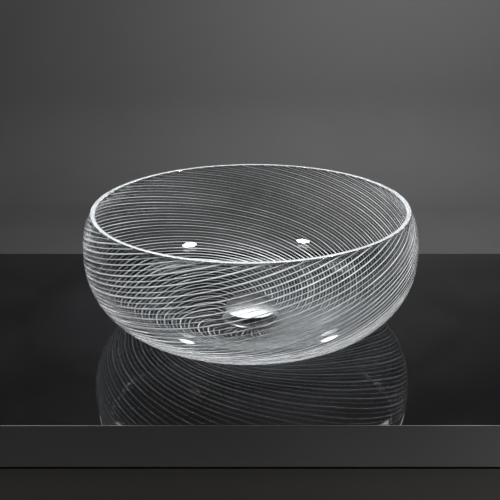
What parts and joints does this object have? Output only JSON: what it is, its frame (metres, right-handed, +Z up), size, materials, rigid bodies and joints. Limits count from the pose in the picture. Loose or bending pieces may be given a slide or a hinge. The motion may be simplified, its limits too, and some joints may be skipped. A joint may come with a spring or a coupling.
{
  "type": "vessel sink vanity",
  "caption": "Round glass vessel basin with spiralling white threads in its wall, on a black gloss counter over a handleless cabinet with sliding drawers, a push waste and a bottle trap.",
  "frame": {"origin": "on the floor, under the middle of the cabinet", "axes": "+Z up, -Y towards the person who uses the basin, +X to that person's right as they face it"},
  "size_m": [0.9, 0.475, 0.9],
  "materials": {
    "clear_glass": "clear blown glass with white glass threads in the wall, polished",
    "white_thread": "opaque white glass thread, drawn and twisted, inside the clear wall",
    "clear_silicone": "clear silicone, satin",
    "black_gloss": "black lacquered board, mirror gloss",
    "rubber": "matt black rubber",
    "chrome": "polished chrome on brass",
    "spring_steel": "stainless wire",
    "dark_front": "dark warm-grey lacquer, satin",
    "dark_board": "dark melamine board, matt",
    "drawer_board": "grey melamine board with fine grain, matt",
    "zinc_steel": "zinc-plated rolled steel",
    "dark_aluminium": "dark anodised aluminium",
    "black_plastic": "black moulded plastic"
  },
  "bodies": {
    "vanity": {"glass_bowl": "clear_glass", "base_seal": "clear_silicone", "flange_seal": "rubber", "waste_body": "chrome", "clamp_washer": "rubber", "lock_nut": "chrome", "plug_guide": "chrome", "plug_spring": "spring_steel", "inlet_tube": "chrome", "inlet_nut": "chrome", "trap_gland_nut": "chrome", "trap_body": "chrome", "trap_cup": "chrome", "outlet_nut": "chrome", "outlet_pipe": "chrome", "wall_rose": "chrome", "counter_top": "black_gloss", "side_left": "dark_front", "side_right": "dark_front", "floor_board": "dark_board", "front_rail": "dark_board", "wall_rail": "dark_board", "back_board": "dark_board", "grip_channel": "dark_aluminium", "plinth_front": "dark_front", "plinth_left": "dark_front", "plinth_right": "dark_front", "leg_front_left": "black_plastic", "leg_front_right": "black_plastic", "leg_rear_left": "black_plastic", "leg_rear_right": "black_plastic", "upper_drawer_runner_left_fixed": "zinc_steel", "upper_drawer_runner_right_fixed": "zinc_steel", "lower_drawer_runner_left_fixed": "zinc_steel", "lower_drawer_runner_right_fixed": "zinc_steel"},
    "plug": {"plug_cap": "chrome", "plug_seal": "rubber", "plug_stem": "chrome"},
    "upper_drawer": {"upper_drawer_front": "dark_front", "upper_drawer_side_left": "drawer_board", "upper_drawer_side_right": "drawer_board", "upper_drawer_bottom": "drawer_board", "upper_drawer_well_left": "drawer_board", "upper_drawer_well_right": "drawer_board", "upper_drawer_well_front": "drawer_board", "upper_drawer_back_left": "drawer_board", "upper_drawer_back_right": "drawer_board", "upper_drawer_runner_left_drawer": "zinc_steel", "upper_drawer_runner_right_drawer": "zinc_steel"},
    "lower_drawer": {"lower_drawer_front": "dark_front", "lower_drawer_side_left": "drawer_board", "lower_drawer_side_right": "drawer_board", "lower_drawer_bottom": "drawer_board", "lower_drawer_back": "drawer_board", "lower_drawer_runner_left_drawer": "zinc_steel", "lower_drawer_runner_right_drawer": "zinc_steel"},
    "upper_runner_left": {"upper_drawer_runner_left_middle": "zinc_steel"},
    "upper_runner_right": {"upper_drawer_runner_right_middle": "zinc_steel"},
    "lower_runner_left": {"lower_drawer_runner_left_middle": "zinc_steel"},
    "lower_runner_right": {"lower_drawer_runner_right_middle": "zinc_steel"}
  },
  "joints": [
    {"name": "plug_press", "type": "slide", "parent": "vanity", "child": "plug", "axis": [0, 0, 1], "range_m": [-0.0085, 0], "stiffness_N_per_m": 400, "springref_m": 0.006, "deforming": ["plug_spring"]},
    {"name": "upper_drawer_slide", "type": "slide", "parent": "vanity", "child": "upper_drawer", "axis": [0, -1, 0], "range_m": [0, 0.36]},
    {"name": "upper_runner_left_slide", "type": "slide", "parent": "vanity", "child": "upper_runner_left", "axis": [0, -1, 0], "range_m": [0, 0.18]},
    {"name": "upper_runner_right_slide", "type": "slide", "parent": "vanity", "child": "upper_runner_right", "axis": [0, -1, 0], "range_m": [0, 0.18]},
    {"name": "lower_drawer_slide", "type": "slide", "parent": "vanity", "child": "lower_drawer", "axis": [0, -1, 0], "range_m": [0, 0.36]},
    {"name": "lower_runner_left_slide", "type": "slide", "parent": "vanity", "child": "lower_runner_left", "axis": [0, -1, 0], "range_m": [0, 0.18]},
    {"name": "lower_runner_right_slide", "type": "slide", "parent": "vanity", "child": "lower_runner_right", "axis": [0, -1, 0], "range_m": [0, 0.18]}
  ],
  "couplings": [
    {"joint": "upper_runner_left_slide", "follows": "upper_drawer_slide", "ratio": 0.5},
    {"joint": "upper_runner_right_slide", "follows": "upper_drawer_slide", "ratio": 0.5},
    {"joint": "lower_runner_left_slide", "follows": "lower_drawer_slide", "ratio": 0.5},
    {"joint": "lower_runner_right_slide", "follows": "lower_drawer_slide", "ratio": 0.5}
  ]
}
